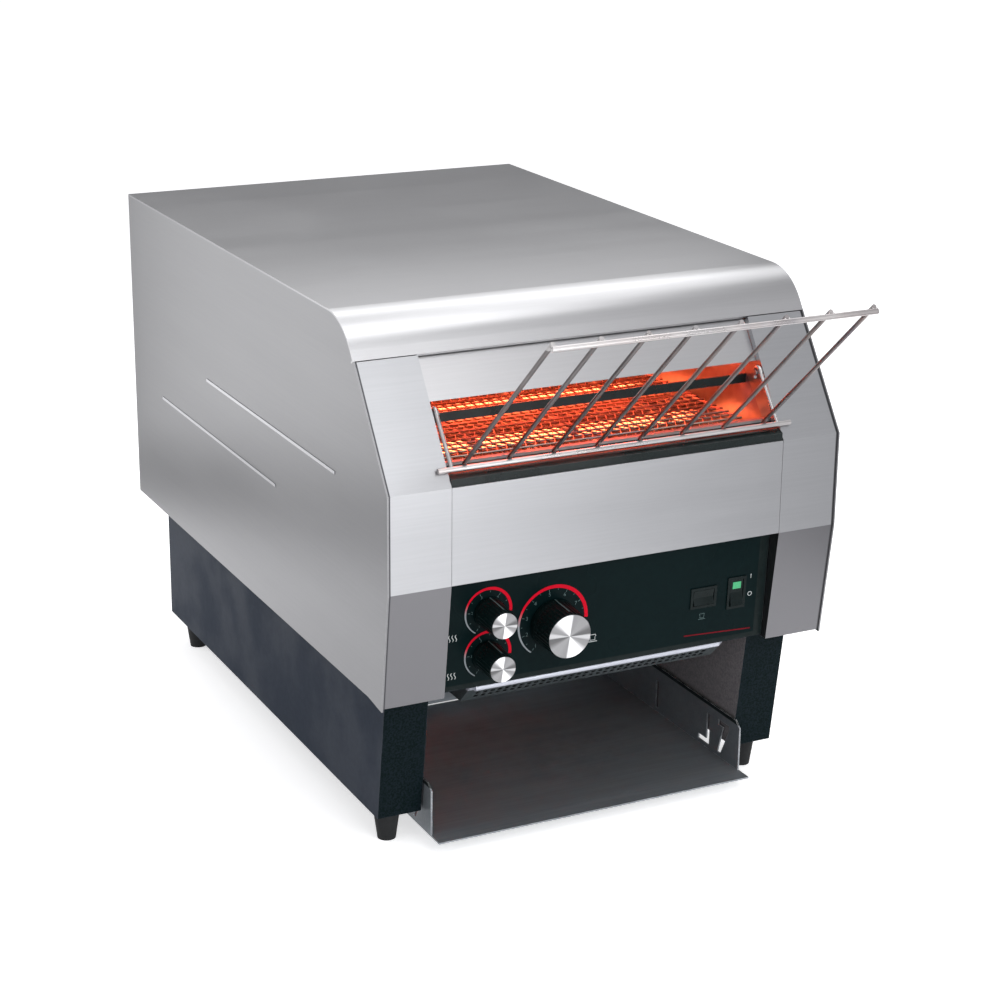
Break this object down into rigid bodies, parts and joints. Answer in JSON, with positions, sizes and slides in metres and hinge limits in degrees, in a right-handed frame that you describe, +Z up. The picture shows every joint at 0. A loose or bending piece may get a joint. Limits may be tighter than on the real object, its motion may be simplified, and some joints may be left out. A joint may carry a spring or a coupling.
{
  "type": "conveyor toaster",
  "caption": "Counter-top conveyor toaster in brushed steel, with a sloping wire feed rack, a moving belt between heaters, front knobs and switches, and a tray that catches the toast.",
  "frame": {"origin": "on the counter, under the middle of the outer box, with the feet's undersides at z = 0", "axes": "+X to the right for someone facing the front, the front faces -Y, +Z up"},
  "size_m": [0.369, 0.69, 0.4229],
  "materials": {
    "casing_steel": "satin",
    "base_steel": "satin",
    "chassis_steel": "satin",
    "tray_steel": "satin",
    "reflector_steel": "polished",
    "black_sill": "satin",
    "control_black": "satin",
    "overlay_black": "matte",
    "grille_black": "matte",
    "knob_black": "satin",
    "knob_disc": "spun",
    "switch_black": "gloss",
    "lamp_green": "gloss",
    "control_can": "matte",
    "foot_rubber": "matte",
    "belt_wire": "satin",
    "shaft_steel": "machined",
    "bearing_bronze": "satin",
    "chain_steel": "oiled",
    "motor_paint": "satin",
    "heater_sheath": "matte",
    "bushing_ceramic": "matte",
    "fan_plastic": "matte",
    "board_green": "satin",
    "gland_plastic": "matte",
    "screw_steel": "satin",
    "rack_wire": "bright"
  },
  "bodies": {
    "housing": {"top_hood": "casing_steel", "left_side_panel": "casing_steel", "right_side_panel": "casing_steel", "left_front_cheek": "casing_steel", "right_front_cheek": "casing_steel", "left_chassis_side": "chassis_steel", "right_chassis_side": "chassis_steel", "upper_front_plate": "casing_steel", "mouth_guard": "black_sill", "centre_front_panel": "casing_steel", "feed_sill": "black_sill", "control_panel": "control_black", "control_overlay": "overlay_black", "rotary_controls": "control_can", "switch_housings": "switch_black", "body_pan": "base_steel", "control_bay_wall": "chassis_steel", "left_base_channel": "base_steel", "right_base_channel": "base_steel", "rear_base_wall": "base_steel", "rubber_feet": "foot_rubber", "vent_grille": "grille_black", "conveyor_belt": "belt_wire", "belt_support": "chassis_steel", "shaft_bearings": "bearing_bronze", "drive_chain": "chain_steel", "gearmotor": "motor_paint", "upper_heaters": "heater_sheath", "lower_heaters": "heater_sheath", "heater_bushings": "bushing_ceramic", "upper_reflector": "reflector_steel", "chamber_floor": "chassis_steel", "rear_deflector": "chassis_steel", "discharge_ramp": "tray_steel", "discharge_ceiling": "chassis_steel", "left_tray_runner": "base_steel", "right_tray_runner": "base_steel", "fan_frame": "fan_plastic", "control_board": "board_green", "rear_panel": "casing_steel", "rear_screws": "screw_steel", "cable_gland": "gland_plastic"},
    "drive_roller": {"drive_shaft": "shaft_steel", "drive_sprocket": "chain_steel"},
    "idler_roller": {"idler_shaft": "shaft_steel"},
    "motor_output": {"motor_shaft": "shaft_steel", "motor_sprocket": "chain_steel"},
    "fan": {"fan_rotor": "fan_plastic"},
    "upper_heat_knob": {"upper_small_knob": "knob_black", "upper_small_knob_cap": "knob_disc"},
    "lower_heat_knob": {"lower_small_knob": "knob_black", "lower_small_knob_cap": "knob_disc"},
    "speed_knob": {"large_knob": "knob_black", "large_knob_cap": "knob_disc"},
    "mode_switch": {"feed_rocker": "switch_black"},
    "power_switch": {"power_rocker": "switch_black", "power_lamp_lens": "lamp_green"},
    "tray": {"toast_tray": "tray_steel"},
    "feed_rack": {"rack_grid": "rack_wire", "rack_hooks": "rack_wire"}
  },
  "joints": [
    {"name": "drive_spin", "type": "hinge", "parent": "housing", "child": "drive_roller", "pos_m": [0, 0.234, 0.282], "axis": [1, 0, 0], "continuous": true},
    {"name": "idler_spin", "type": "hinge", "parent": "housing", "child": "idler_roller", "pos_m": [0, -0.176, 0.282], "axis": [1, 0, 0], "continuous": true},
    {"name": "motor_spin", "type": "hinge", "parent": "housing", "child": "motor_output", "pos_m": [0.15, -0.052, 0.196], "axis": [1, 0, 0], "continuous": true},
    {"name": "fan_spin", "type": "hinge", "parent": "housing", "child": "fan", "pos_m": [0.02, -0.151, 0.15], "axis": [0, 0, 1], "continuous": true},
    {"name": "upper_heat_turn", "type": "hinge", "parent": "housing", "child": "upper_heat_knob", "pos_m": [-0.0998, -0.2078, 0.1909], "axis": [0, -0.9983, -0.0589], "range_deg": [-135, 135]},
    {"name": "lower_heat_turn", "type": "hinge", "parent": "housing", "child": "lower_heat_knob", "pos_m": [-0.0998, -0.20581, 0.1571], "axis": [0, -0.9983, -0.0589], "range_deg": [-135, 135]},
    {"name": "speed_turn", "type": "hinge", "parent": "housing", "child": "speed_knob", "pos_m": [-0.0472, -0.20679, 0.1738], "axis": [0, -0.9983, -0.0589], "range_deg": [-135, 135]},
    {"name": "mode_tilt", "type": "hinge", "parent": "housing", "child": "mode_switch", "pos_m": [0.0796, -0.20574, 0.17286], "axis": [1, 0, 0], "range_deg": [0, 12]},
    {"name": "power_tilt", "type": "hinge", "parent": "housing", "child": "power_switch", "pos_m": [0.1083, -0.20571, 0.17236], "axis": [1, 0, 0], "range_deg": [0, 12]},
    {"name": "tray_slide", "type": "slide", "parent": "housing", "child": "tray", "axis": [0, -1, 0], "range_m": [0, 0.25]},
    {"name": "rack_lift", "type": "slide", "parent": "housing", "child": "feed_rack", "axis": [0, 0, 1], "range_m": [0, 0.11]}
  ],
  "couplings": [
    {"joint": "idler_spin", "follows": "drive_spin", "ratio": 1},
    {"joint": "motor_spin", "follows": "drive_spin", "ratio": 1}
  ]
}
